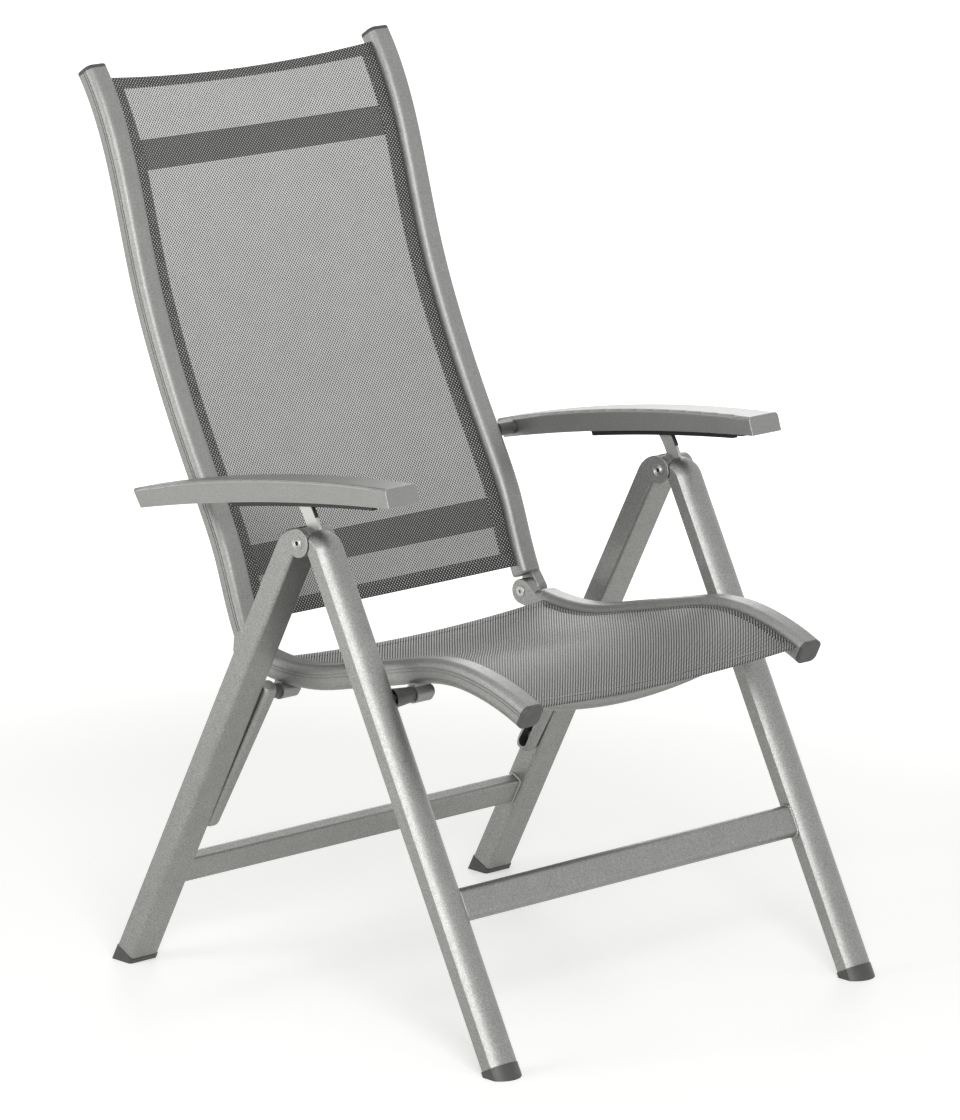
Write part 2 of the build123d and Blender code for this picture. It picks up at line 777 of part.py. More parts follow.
def armrest_outline(inset, rise_top, rise_under):
    """The side outline between the armrest's two arcs."""
    upper, lower = shifted(top_arc, inset, rise_top), shifted(under_arc, inset, rise_under)
    with BuildLine() as outline:
        ThreePointArc(*upper)
        Line(upper[2], lower[2])
        ThreePointArc(*lower)
        Line(lower[0], upper[0])
    make_face(outline.edges())


# Armrests: arched shells, open below
with BuildPart() as armrest:
    with BuildSketch(plane_at(armrest_inner_x)):
        armrest_outline(0, 0, 0)
    extrude(amount=armrest_width)
    arcs = edges().filter_by(GeomType.CIRCLE)
    fillet(arcs.sort_by(Axis.Z)[-2:], armrest_corner)
    with BuildSketch(plane_at(armrest_inner_x + armrest_wall)):
        armrest_outline(armrest_wall, -armrest_wall, -armrest_wall * 2)
    extrude(amount=armrest_width - 2 * armrest_wall, mode=Mode.SUBTRACT)
    round_bar(
        armrest_inner_x - overrun,
        armrest_inner_x + armrest_wall + overrun,
        arm_pivot,
        bolt_radius + running,
        Mode.SUBTRACT,
    )
save_pair(armrest, "armrest")


def rack_outline(rise_top, rise_under, upper_arc, low, high):
    """A strip's side outline between two places along the armrest."""
    upper = [upper_arc @ low, upper_arc @ ((low + high) / 2), upper_arc @ high]
    lower = [under_arc @ low, under_arc @ ((low + high) / 2), under_arc @ high]
    with BuildLine() as outline:
        ThreePointArc(*[(p.X, p.Y + rise_top) for p in upper])
        Line((upper[2].X, upper[2].Y + rise_top), (lower[2].X, lower[2].Y + rise_under))
        ThreePointArc(*[(p.X, p.Y + rise_under) for p in lower])
        Line((lower[0].X, lower[0].Y + rise_under), (upper[0].X, upper[0].Y + rise_top))
    make_face(outline.edges())


# Racks: strips under the armrests, slotted for the post pins. The slot's roof rests on the pin, and
# ahead of the pin it is higher, because there the pin rises into the armrest as the legs fold.
with BuildPart() as arm_rack:
    rack_low, rack_high = rack_reach_shares
    pin_share = share_at(under_arc, post_pin[0])
    slot_rise = post_pin[1] + post_pin_radius + side_clear - height_at(under_arc, post_pin[0])
    slot_foot = -rack_drop - overrun
    with BuildSketch(plane_at(leg_x - rack_width / 2)):
        rack_outline(-armrest_wall, -rack_drop, top_arc, rack_low, rack_high)
    extrude(amount=rack_width)
    with BuildSketch(plane_at(leg_x - rack_slot / 2)):
        rack_outline(slot_rise, slot_foot, under_arc, rack_low, rack_high)
    extrude(amount=rack_slot, mode=Mode.SUBTRACT)
    with BuildSketch(plane_at(leg_x - rack_slot / 2)):
        rack_outline(slot_rise + rack_lift, slot_foot, under_arc, rack_low, pin_share)
    extrude(amount=rack_slot, mode=Mode.SUBTRACT)
save_pair(arm_rack, "arm_rack")
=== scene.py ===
from math import cos, pi, radians, sin

import bmesh
import bpy
import numpy as np
from mathutils import Matrix, Vector


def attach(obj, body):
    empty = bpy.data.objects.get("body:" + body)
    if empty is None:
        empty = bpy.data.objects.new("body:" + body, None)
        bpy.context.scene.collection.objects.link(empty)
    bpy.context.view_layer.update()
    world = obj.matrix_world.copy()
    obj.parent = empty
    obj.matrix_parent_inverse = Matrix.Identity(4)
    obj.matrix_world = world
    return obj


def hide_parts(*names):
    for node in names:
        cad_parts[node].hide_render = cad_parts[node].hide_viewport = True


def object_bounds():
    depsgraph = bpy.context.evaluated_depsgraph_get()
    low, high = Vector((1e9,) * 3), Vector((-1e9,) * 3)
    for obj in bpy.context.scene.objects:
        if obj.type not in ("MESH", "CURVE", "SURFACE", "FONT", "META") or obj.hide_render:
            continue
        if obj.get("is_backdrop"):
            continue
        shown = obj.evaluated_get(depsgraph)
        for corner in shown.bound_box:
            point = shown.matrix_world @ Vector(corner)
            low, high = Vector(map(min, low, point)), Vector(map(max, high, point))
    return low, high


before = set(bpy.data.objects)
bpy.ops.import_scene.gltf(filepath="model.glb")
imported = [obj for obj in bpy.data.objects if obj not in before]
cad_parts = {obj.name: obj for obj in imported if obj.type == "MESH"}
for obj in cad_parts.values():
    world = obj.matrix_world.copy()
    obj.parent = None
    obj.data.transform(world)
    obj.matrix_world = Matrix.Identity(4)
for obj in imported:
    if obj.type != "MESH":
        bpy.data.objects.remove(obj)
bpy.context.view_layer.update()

# The reclining garden armchair stands on a pale floor. Metres, +Z up, the sitter faces -Y, and the
# sitter's left is +X.
bpy.context.scene.view_settings.view_transform = "Standard"


# Camera: a long lens from the sitter's front right, a little above the seat, with a slight roll.
# The picture is portrait, so the lens goes by its long side. Angles are in radians.
camera_turn, camera_rise, camera_roll = -0.791779, 0.233816, 0.0230431
camera_distance, camera_target = 8.6358, Vector((0, -0.0372887, 0.499726))
picture_height, focal_pixels, sensor_width, sight = 1120, 7191.25, 36.0, 60
away = Vector(
    (
        sin(camera_turn) * cos(camera_rise),
        -cos(camera_turn) * cos(camera_rise),
        sin(camera_rise),
    )
)
level_right = Vector((cos(camera_turn), sin(camera_turn), 0))
level_up = away.cross(level_right)
view_right = cos(camera_roll) * level_right + sin(camera_roll) * level_up
view_up = -sin(camera_roll) * level_right + cos(camera_roll) * level_up
camera_data = bpy.data.cameras.new("camera")
camera_data.sensor_width = sensor_width
camera_data.lens = focal_pixels / picture_height * sensor_width
camera_data.clip_end = sight
camera = bpy.data.objects.new("camera", camera_data)
camera_axes = Matrix((view_right, view_up, away)).transposed().to_4x4()
camera.matrix_world = Matrix.Translation(camera_target + away * camera_distance) @ camera_axes
bpy.context.scene.collection.objects.link(camera)
bpy.context.scene.camera = camera


# Pale studio: a paper floor that keeps the chair's shadow, and a plain room around it. Rays that
# show the room see it white, and the floor glows for them too, more the farther it is from the
# chair, until it is lost in the room. The room lights the chair at a lower level.
def linear(hex_colour):
    """An sRGB hex colour as linear red, green, blue and alpha."""
    shares = [int(hex_colour[i : i + 2], 16) / 255 for i in (1, 3, 5)]
    return [c / 12.92 if c <= 0.04045 else ((c + 0.055) / 1.055) ** 2.4 for c in shares] + [1.0]


def add(tree, kind, inputs=None, **settings):
    """Adds a node; each input takes a value or another node's output."""
    made = tree.nodes.new(kind)
    for name, value in settings.items():
        setattr(made, name, value)
    for socket, value in (inputs or {}).items():
        if isinstance(value, bpy.types.NodeSocket):
            tree.links.new(value, made.inputs[socket])
        else:
            made.inputs[socket].default_value = value
    return made


def mesh_object(name, vertices, faces, smooth=True):
    """A new mesh object from its vertices in metres and its faces."""
    mesh = bpy.data.meshes.new(name)
    mesh.from_pydata([tuple(v) for v in vertices], [], [tuple(f) for f in faces])
    mesh.polygons.foreach_set("use_smooth", [smooth] * len(mesh.polygons))
    mesh.update()
    made = bpy.data.objects.new(name, mesh)
    bpy.context.scene.collection.objects.link(made)
    return made


floor_half, floor_colour, white = 14.0, "#e9e9e7", "#ffffff"
glow_near, glow_far, glow_start, glow_full = 0.42, 1.0, 0.9, 2.6
floor = mesh_object(
    "floor",
    [(x * floor_half, y * floor_half, 0) for x, y in ((-1, -1), (1, -1), (1, 1), (-1, 1))],
    [(0, 1, 2, 3)],
    smooth=False,
)
floor_paper = bpy.data.materials.new("studio_floor_paper")
floor_paper.use_nodes = True
tree = floor_paper.node_tree
tree.nodes.clear()
floor_matt = add(tree, "ShaderNodeBsdfDiffuse", {"Color": linear(floor_colour)})
floor_place = add(tree, "ShaderNodeTexCoord").outputs["Object"]
floor_far = add(tree, "ShaderNodeVectorMath", {0: floor_place}, operation="LENGTH")
floor_glow = add(
    tree,
    "ShaderNodeMapRange",
    {
        "Value": floor_far.outputs["Value"],
        "From Min": glow_start,
        "From Max": glow_full,
        "To Min": glow_near,
        "To Max": glow_far,
    },
    interpolation_type="SMOOTHSTEP",
)
floor_light = add(
    tree, "ShaderNodeEmission", {"Color": linear(white), "Strength": floor_glow.outputs[0]}
)
floor_bright = add(
    tree, "ShaderNodeAddShader", {0: floor_matt.outputs[0], 1: floor_light.outputs[0]}
)


def seen_rays(tree):
    """1 for the rays that show the room: the camera's, and those mirrored by or through a piece."""
    rays = add(tree, "ShaderNodeLightPath")
    shown = add(
        tree,
        "ShaderNodeMath",
        {0: rays.outputs["Is Camera Ray"], 1: rays.outputs["Is Glossy Ray"]},
        operation="MAXIMUM",
    )
    return add(
        tree,
        "ShaderNodeMath",
        {0: shown.outputs[0], 1: rays.outputs["Is Transmission Ray"]},
        operation="MAXIMUM",
    ).outputs[0]


floor_mix = add(
    tree,
    "ShaderNodeMixShader",
    {0: seen_rays(tree), 1: floor_matt.outputs[0], 2: floor_bright.outputs[0]},
)
add(tree, "ShaderNodeOutputMaterial", {"Surface": floor_mix.outputs[0]})
floor.data.materials.append(floor_paper)
floor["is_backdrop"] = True

room_colour, room_strength = "#f2f2f0", 0.46
world = bpy.data.worlds.new("studio")
bpy.context.scene.world = world
world.use_nodes = True
tree = world.node_tree
tree.nodes.clear()
room_light = add(
    tree, "ShaderNodeBackground", {"Color": linear(room_colour), "Strength": room_strength}
)
room_seen = add(tree, "ShaderNodeBackground", {"Color": linear(white), "Strength": 1.0})
room_mix = add(
    tree,
    "ShaderNodeMixShader",
    {0: seen_rays(tree), 1: room_light.outputs[0], 2: room_seen.outputs[0]},
)
add(tree, "ShaderNodeOutputWorld", {"Surface": room_mix.outputs[0]})


# Lamps: a large soft box in front, on the sitter's right, which draws the bright streak down the
# legs' crowned fronts, a weaker one from that side, and one behind on the left for the tubes' rims.
lamp_aim = (0, 0, 0.5)


def soft_box(name, place, width, height, power):
    """A rectangular area lamp turned towards the chair; sizes in metres, power in watts."""
    data = bpy.data.lights.new(name, "AREA")
    data.shape, data.size, data.size_y, data.energy = "RECTANGLE", width, height, power
    lamp = bpy.data.objects.new(name, data)
    lamp.location = place
    lamp.rotation_euler = (Vector(lamp_aim) - Vector(place)).to_track_quat("-Z", "Y").to_euler()
    bpy.context.scene.collection.objects.link(lamp)


soft_box("key_soft_box", (-2.3, -2.9, 2.2), 1.7, 1.9, 76)
soft_box("side_soft_box", (-3.6, 0.9, 1.6), 1.6, 1.6, 26)
soft_box("rim_soft_box", (2.6, 2.4, 2.2), 1.2, 1.2, 24)


# Front legs: extruded aluminium tubes with a flat rear and a crowned front, bent over at the top to
# the hinge barrel. Silver polyester powder coat with metal flakes: a fine sparkle in the highlight,
# and a painted highlight that lightens the colour along the edges. The flakes are about 0.15 mm
# across, drawn at 0.9 mm so that they show.
flake_size, flake_height, coat_mottle_size, mottle_depth = 0.0009, 0.0002, 0.030, 0.06
noise_low, noise_high = 0.3, 0.7
# The edge colour and its radius make a painted highlight: the coat's colour is lightened where the
# surface turns at an edge.
highlight_edge_radius, plain_edge_radius, edge_highlight_colour = 0.0014, 0.0003, "#e2e2e0"
wear_from, wear_to = 0.99, 0.86


def silver_powder_coat(name, dull, bright, roughness, metallic, flake_strength, edge_light=0.6):
    """Metallic powder coat on aluminium between two tones, with its sparkle in the bump.
    edge_light is how far the tone goes to a painted highlight colour where the surface turns at
    an edge, from wear_from to wear_to as the cosine of the turn."""
    material = bpy.data.materials.new(name)
    material.use_nodes = True
    tree = material.node_tree
    shader = tree.nodes["Principled BSDF"]
    place = add(tree, "ShaderNodeTexCoord").outputs["Object"]
    flakes = add(tree, "ShaderNodeTexVoronoi", {"Vector": place, "Scale": 1 / flake_size})
    mottle = add(
        tree, "ShaderNodeTexNoise", {"Vector": place, "Scale": 1 / coat_mottle_size, "Detail": 3.0}
    )
    soft_mottle = add(
        tree,
        "ShaderNodeMapRange",
        {
            "Value": mottle.outputs["Fac"],
            "From Min": noise_low,
            "From Max": noise_high,
            "To Min": 0.5 - mottle_depth,
            "To Max": 0.5 + mottle_depth,
        },
    )
    tone = add(
        tree,
        "ShaderNodeMath",
        {0: flakes.outputs["Color"], 1: soft_mottle.outputs[0]},
        operation="MULTIPLY",
    )
    colour = add(
        tree,
        "ShaderNodeMix",
        {0: tone.outputs[0], 6: linear(dull), 7: linear(bright)},
        data_type="RGBA",
    )
    edge_radius = highlight_edge_radius if edge_light else plain_edge_radius
    edge = add(tree, "ShaderNodeBevel", {"Radius": edge_radius}, samples=4)
    flat_way = add(tree, "ShaderNodeNewGeometry").outputs["True Normal"]
    turned_away = add(
        tree,
        "ShaderNodeVectorMath",
        {0: edge.outputs[0], 1: flat_way},
        operation="DOT_PRODUCT",
    )
    edge_share = add(
        tree,
        "ShaderNodeMapRange",
        {
            "Value": turned_away.outputs["Value"],
            "From Min": wear_from,
            "From Max": wear_to,
            "To Max": edge_light,
        },
    )
    # Painted highlight: the colour goes towards the edge highlight colour at the edges.
    edge_highlighted = add(
        tree,
        "ShaderNodeMix",
        {0: edge_share.outputs[0], 6: colour.outputs[2], 7: linear(edge_highlight_colour)},
        data_type="RGBA",
    )
    grain = add(
        tree,
        "ShaderNodeBump",
        {
            "Strength": flake_strength,
            "Distance": flake_height,
            "Height": flakes.outputs["Color"],
            "Normal": edge.outputs[0],
        },
    )
    tree.links.new(edge_highlighted.outputs[2], shader.inputs["Base Color"])
    tree.links.new(grain.outputs[0], shader.inputs["Normal"])
    shader.inputs["Metallic"].default_value = metallic
    shader.inputs["Roughness"].default_value = roughness
    return material


frame_coat = silver_powder_coat(
    "silver_powder_coat", "#7c7c7a", "#c8c8c6", roughness=0.43, metallic=0.88, flake_strength=0.40
)
sides = {"left": 1, "right": -1}


def pair(stem):
    """The names of a left and a right node."""
    return [stem + "_" + side for side in sides]


def dress(material, *names):
    """Gives CAD nodes their material."""
    for name in names:
        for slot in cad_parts[name].material_slots:
            slot.material = material


dress(frame_coat, *pair("front_leg"))


# Feet: moulded polypropylene caps pushed over the legs' ends, dark grey and finely grained.
# The grain of the mould is about 0.6 mm, and faint scuffs of about 11 mm vary the tone.
grain_height, grain_strength, moulded_edge, plastic_ior = 0.0002, 0.25, 0.0008, 1.49
scuffs_per_metre, scuff_dark, scuff_light = 90.0, 0.85, 1.2


def moulded_plastic(name, colour, roughness, grain_size):
    """Moulded polypropylene or nylon with a grain of a size in metres."""
    material = bpy.data.materials.new(name)
    material.use_nodes = True
    tree = material.node_tree
    shader = tree.nodes["Principled BSDF"]
    place = add(tree, "ShaderNodeTexCoord").outputs["Object"]
    grain = add(
        tree, "ShaderNodeTexNoise", {"Vector": place, "Scale": 1 / grain_size, "Detail": 2.0}
    )
    scuffs = add(
        tree, "ShaderNodeTexNoise", {"Vector": place, "Scale": scuffs_per_metre, "Detail": 4.0}
    )
    shade = add(
        tree,
        "ShaderNodeMapRange",
        {
            "Value": scuffs.outputs["Fac"],
            "From Min": noise_low,
            "From Max": noise_high,
            "To Min": scuff_dark,
            "To Max": scuff_light,
        },
    )
    tint = add(
        tree,
        "ShaderNodeVectorMath",
        {0: linear(colour)[:3], "Scale": shade.outputs[0]},
        operation="SCALE",
    )
    edge = add(tree, "ShaderNodeBevel", {"Radius": moulded_edge}, samples=4)
    bump = add(
        tree,
        "ShaderNodeBump",
        {
            "Strength": grain_strength,
            "Distance": grain_height,
            "Height": grain.outputs["Fac"],
            "Normal": edge.outputs[0],
        },
    )
    tree.links.new(tint.outputs[0], shader.inputs["Base Color"])
    tree.links.new(bump.outputs[0], shader.inputs["Normal"])
    shader.inputs["Roughness"].default_value = roughness
    shader.inputs["IOR"].default_value = plastic_ior
    return material


dark_polypropylene = moulded_plastic("dark_grey_polypropylene", "#4b4b49", 0.42, 0.0006)
dress(dark_polypropylene, *pair("front_foot"))


# Front stretcher: a flat oval tube welded between the front legs. A ring of weld bead, laid by hand
# and coated over, closes the joint at each end.
leg_inner_x, weld_radius, weld_ripple, ripple_step, weld_sink = 0.2835, 0.0019, 0.16, 0.0035, 0.0006
weld_step, weld_segments = 0.0008, 8


def rounded_ring(wide, deep, corner, count=6):
    """Points round a rectangle with rounded corners, centred on 0."""
    points = []
    for turn, sign_a, sign_b in ((0, 1, 1), (90, -1, 1), (180, -1, -1), (270, 1, -1)):
        mid_a, mid_b = sign_a * (wide / 2 - corner), sign_b * (deep / 2 - corner)
        for k in range(count + 1):
            at = radians(turn + 90 * k / count)
            points.append((mid_a + corner * cos(at), mid_b + corner * sin(at)))
    return points


def stretcher_outline(centre, height, depth, corner, slope):
    """Side-view points, evenly spaced, round a stretcher whose height lies along its slope."""
    corners = rounded_ring(height, depth, corner, max(2, round(corner * pi / 2 / weld_step)))
    points = []
    for i, (a, b) in enumerate(corners):
        next_a, next_b = corners[(i + 1) % len(corners)]
        gap = ((next_a - a) ** 2 + (next_b - b) ** 2) ** 0.5
        parts = max(1, round(gap / weld_step))
        points += [
            (a + (next_a - a) * k / parts, b + (next_b - b) * k / parts) for k in range(parts)
        ]
    c, s = cos(radians(slope)), sin(radians(slope))
    return [(centre[0] + a * c - b * s, centre[1] + a * s + b * c) for a, b in points]


def weld_bead(name, outline, sign):
    """A ring of weld round an outline, at the inner face of a leg, its thickness rippled."""
    path = [Vector((sign * (leg_inner_x - weld_sink), y, z)) for y, z in outline]
    count = len(path)
    vertices, run, normal = [], 0.0, None
    for i, here in enumerate(path):
        tangent = (path[(i + 1) % count] - path[i - 1]).normalized()
        if normal is None:
            normal = tangent.orthogonal().normalized()
        normal = (normal - tangent * normal.dot(tangent)).normalized()
        side_way = tangent.cross(normal)
        run += (here - path[i - 1]).length if i else 0.0
        size = weld_radius * (1 + weld_ripple * sin(2 * pi * run / ripple_step))
        for k in range(weld_segments):
            turn = 2 * pi * k / weld_segments
            vertices.append(here + size * (cos(turn) * normal + sin(turn) * side_way))
    faces = [
        (
            i * weld_segments + k,
            i * weld_segments + (k + 1) % weld_segments,
            (i + 1) % count * weld_segments + (k + 1) % weld_segments,
            (i + 1) % count * weld_segments + k,
        )
        for i in range(count)
        for k in range(weld_segments)
    ]
    weld = mesh_object(name, vertices, faces)
    weld.data.materials.append(frame_coat)
    return weld


front_outline = stretcher_outline(
    centre=(-0.295269, 0.178022), height=0.040, depth=0.018, corner=0.0089, slope=61.4028
)
dress(frame_coat, "front_stretcher")
for side, sign in sides.items():
    weld = weld_bead("front_stretcher_weld_" + side, front_outline, sign)
    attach(weld, "front_frame")


# Rear legs, their feet and stretcher: rectangular tube with rounded corners, bent forward at the
# top into two ears. The same powder coat, moulded caps and weld beads as on the front pair.
rear_outline = stretcher_outline(
    centre=(0.176424, 0.122057), height=0.036, depth=0.018, corner=0.004, slope=115.9047
)
dress(frame_coat, "rear_stretcher", *pair("rear_leg"))
dress(dark_polypropylene, *pair("rear_foot"))
for side, sign in sides.items():
    weld = weld_bead("rear_stretcher_weld_" + side, rear_outline, sign)
    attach(weld, "rear_frame")


# Leg hinge rivets: tubular rivets of zinc-plated steel, their ends spread over a washer. Each shows
# a bright rim, a pressed ring and a hole in the middle painted near-black as painted shade.
marks_per_metre, mark_height, mark_strength, mark_dark, mark_light = 900.0, 0.0001, 0.1, 0.8, 1.05


def plated_steel(name, colour, roughness):
    """Bright plated steel with faint wipe marks about 1 mm apart."""
    material = bpy.data.materials.new(name)
    material.use_nodes = True
    tree = material.node_tree
    shader = tree.nodes["Principled BSDF"]
    place = add(tree, "ShaderNodeTexCoord").outputs["Object"]
    marks = add(
        tree, "ShaderNodeTexNoise", {"Vector": place, "Scale": marks_per_metre, "Detail": 2.0}
    )
    shade = add(
        tree,
        "ShaderNodeMapRange",
        {"Value": marks.outputs["Fac"], "To Min": mark_dark, "To Max": mark_light},
    )
    tint = add(
        tree,
        "ShaderNodeVectorMath",
        {0: linear(colour)[:3], "Scale": shade.outputs[0]},
        operation="SCALE",
    )
    bump = add(
        tree,
        "ShaderNodeBump",
        {"Strength": mark_strength, "Distance": mark_height, "Height": marks.outputs["Fac"]},
    )
    tree.links.new(tint.outputs[0], shader.inputs["Base Color"])
    tree.links.new(bump.outputs[0], shader.inputs["Normal"])
    shader.inputs["Metallic"].default_value = 1.0
    shader.inputs["Roughness"].default_value = roughness
    return material


zinc_plate = plated_steel("zinc_plated_steel", "#bcbcb9", 0.36)
# The holes' faces are painted near-black as painted shade, in a plastic-like material.
hole_shadow = moulded_plastic("rivet_hole_painted_shade", "#121211", 0.7, 0.0008)
turned_segments = 48


def turned(name, profile, centre, facing, metal, dark_rings):
    """A turned piece about a cross axis; profile runs (radius, outward) from rim to middle.
    The middle, with as many rings round it as dark_rings says, is painted near-black as the hole's
    shade."""
    vertices, faces = [], []
    for radius, outward in profile:
        for k in range(turned_segments):
            turn = 2 * pi * k / turned_segments
            vertices.append(
                (
                    centre[0] + facing * outward,
                    centre[1] + radius * cos(turn),
                    centre[2] + radius * sin(turn),
                )
            )
    for i in range(len(profile) - 1):
        for k in range(turned_segments):
            a, b = i * turned_segments + k, i * turned_segments + (k + 1) % turned_segments
            faces.append((a, b, b + turned_segments, a + turned_segments)[::facing])
    last = (len(profile) - 1) * turned_segments
    faces.append(tuple(range(last, last + turned_segments))[::facing])
    made = mesh_object(name, vertices, faces)
    made.data.materials.append(metal)
    made.data.materials.append(hole_shadow)
    dark_from = (len(profile) - 1 - dark_rings) * turned_segments
    for face in made.data.polygons:
        face.material_index = 1 if face.index >= dark_from else 0
    return made


def joined(name, *parts):
    """One object of several parts that share their materials."""
    with bpy.context.temp_override(
        active_object=parts[0], selected_editable_objects=list(parts), selected_objects=list(parts)
    ):
        bpy.ops.object.join()
    parts[0].name = name
    parts[0].data.name = name
    return parts[0]


leg_hinge, hinge_outer_x, hinge_inner_x = (-0.061325, 0.574041), 0.3281, 0.2819
rivet_profile = [
    (0.0074, 0.0), (0.0074, 0.0007), (0.0070, 0.0011), (0.0063, 0.0010), (0.0060, -0.0004),
    (0.0051, -0.0005), (0.0048, 0.0010), (0.0040, 0.0014), (0.0031, 0.0013), (0.0026, 0.0006),
    (0.0024, -0.0030),
]
for side, sign in sides.items():
    heads = [
        turned("head", rivet_profile, (sign * hinge_outer_x, *leg_hinge), sign, zinc_plate, 1),
        turned("head", rivet_profile, (sign * hinge_inner_x, *leg_hinge), -sign, zinc_plate, 1),
    ]
    rivet = joined("leg_hinge_rivet_" + side, *heads)
    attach(rivet, "rear_frame")
    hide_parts("leg_rivet_" + side)


# Posts: curved flat strips of bare brushed steel, brighter than the coated tubes, that stand in the
# hinge barrel and carry the armrest on a cross pin. A black nylon edging is clipped over the upper
# part of each strip's front edge.
def arc_through(first, middle, last, count):
    """Side-view points along the circle arc through three points, and the circle's centre."""
    (ax, ay), (bx, by), (cx, cy) = first, middle, last
    d = 2 * (ax * (by - cy) + bx * (cy - ay) + cx * (ay - by))
    squares = ax**2 + ay**2, bx**2 + by**2, cx**2 + cy**2
    ux = (squares[0] * (by - cy) + squares[1] * (cy - ay) + squares[2] * (ay - by)) / d
    uy = (squares[0] * (cx - bx) + squares[1] * (ax - cx) + squares[2] * (bx - ax)) / d
    radius = np.hypot(ax - ux, ay - uy)
    low, _, high = np.unwrap([np.arctan2(y - uy, x - ux) for x, y in (first, middle, last)])
    points = [(ux + radius * cos(t), uy + radius * sin(t)) for t in np.linspace(low, high, count)]
    return points, (ux, uy)


def lofted(name, rings):
    """A closed skin over rings of points, with both ends filled."""
    ring = len(rings[0])
    faces = [
        (
            i * ring + k,
            i * ring + (k + 1) % ring,
            (i + 1) * ring + (k + 1) % ring,
            (i + 1) * ring + k,
        )
        for i in range(len(rings) - 1)
        for k in range(ring)
    ]
    faces.append(tuple(reversed(range(ring))))
    faces.append(tuple(range((len(rings) - 1) * ring, len(rings) * ring)))
    made = mesh_object(name, [point for points in rings for point in points], faces)
    shell = bmesh.new()
    shell.from_mesh(made.data)
    bmesh.ops.recalc_face_normals(shell, faces=shell.faces)
    shell.to_mesh(made.data)
    shell.free()
    return made


post_points = (-0.070329, 0.578838), (-0.060251, 0.601757), (-0.047201, 0.619559)
post_x, post_half_width, edging_half, edging_lip = 0.305, 0.0095, 0.0024, 0.0011
arc_steps, edging_from, edging_to = 25, 11, 22
post_line, post_centre = arc_through(*post_points, arc_steps)
black_nylon = moulded_plastic("black_nylon", "#1c1c1b", 0.38, 0.0008)
post_steel = plated_steel("post_brushed_steel", "#c8c8c5", 0.45)
dress(post_steel, *pair("post"))
edging_shape = [
    (-edging_half, -edging_lip), (-edging_half, edging_lip * 0.6), (-edging_half * 0.6, edging_lip),
    (edging_half * 0.6, edging_lip), (edging_half, edging_lip * 0.6), (edging_half, -edging_lip),
]
for side, sign in sides.items():
    rings = []
    for y, z in post_line[edging_from:edging_to]:
        front = Vector((post_centre[0] - y, post_centre[1] - z)).normalized()
        if front.x > 0:
            front = -front
        reaches = [(x, post_half_width + lip) for x, lip in edging_shape]
        rings.append([(sign * post_x + x, y + front.x * r, z + front.y * r) for x, r in reaches])
    edging = lofted("post_edging_" + side, rings)
    edging.data.materials.append(black_nylon)
    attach(edging, "front_frame")


# Seat rails: rounded aluminium tube rolled to an S, with two fine grooves along the outer side and
# the sleeves that turn on the pivots. The same coat as the legs, without the painted edge
# highlight.
tube_coat = silver_powder_coat(
    "silver_tube_coat",
    "#838381",
    "#c0c0be",
    roughness=0.48,
    metallic=0.86,
    flake_strength=0.30,
    edge_light=0.0,
)
dress(tube_coat, "seat_front_bar", "seat_rear_bar", *pair("seat_rail"))
dress(dark_polypropylene, *pair("rail_cap"))


# Links, pivot bolts and spacers: oval coated aluminium struts between the rear legs and the seat,
# with a slot at the foot for the zinc-plated lower bolt, pivot bolts under dark plastic caps, and
# dark tapered nylon spacers that keep the seat clear of the legs.
link_foot, link_angle, link_middle_x = (0.136749, 0.199022), 118.2385, 0.2720
link_way = (cos(radians(link_angle)), sin(radians(link_angle)))
link_wide, link_deep, link_corner, link_low, link_high = 0.0190, 0.0250, 0.0070, -0.0165, 0.1991
link_end = [(0.0, 0.62), (0.0015, 0.78), (0.0045, 0.92), (0.0095, 1.0)]
link_straight, link_stations = 0.03, 12
slot_low, slot_high, slot_half_wide, slot_taper, slot_steps = -0.0130, 0.0240, 0.0066, 0.8, 32


def on_link(sign, x, run, out):
    """A point on a link by metres across the chair, up the link and out from its middle."""
    y = link_foot[0] + run * link_way[0] - out * link_way[1]
    z = link_foot[1] + run * link_way[1] + out * link_way[0]
    return (sign * (link_middle_x + x), y, z)


def sharpened(piece, degrees_apart):
    """Smooth shading with creases where faces meet at more than an angle."""
    piece.data.polygons.foreach_set("use_smooth", [True] * len(piece.data.polygons))
    piece.data.set_sharp_from_angle(angle=radians(degrees_apart))
    return piece


def cut_out(piece, cutter):
    """Cuts one closed mesh out of another and deletes the cutter."""
    hole = piece.modifiers.new("cut", "BOOLEAN")
    hole.operation, hole.object, hole.solver = "DIFFERENCE", cutter, "EXACT"
    hole.material_mode = "TRANSFER"
    evaluated = piece.evaluated_get(bpy.context.evaluated_depsgraph_get())
    shape = bpy.data.meshes.new_from_object(evaluated)
    piece.modifiers.clear()
    piece.data = shape
    bpy.data.objects.remove(cutter)


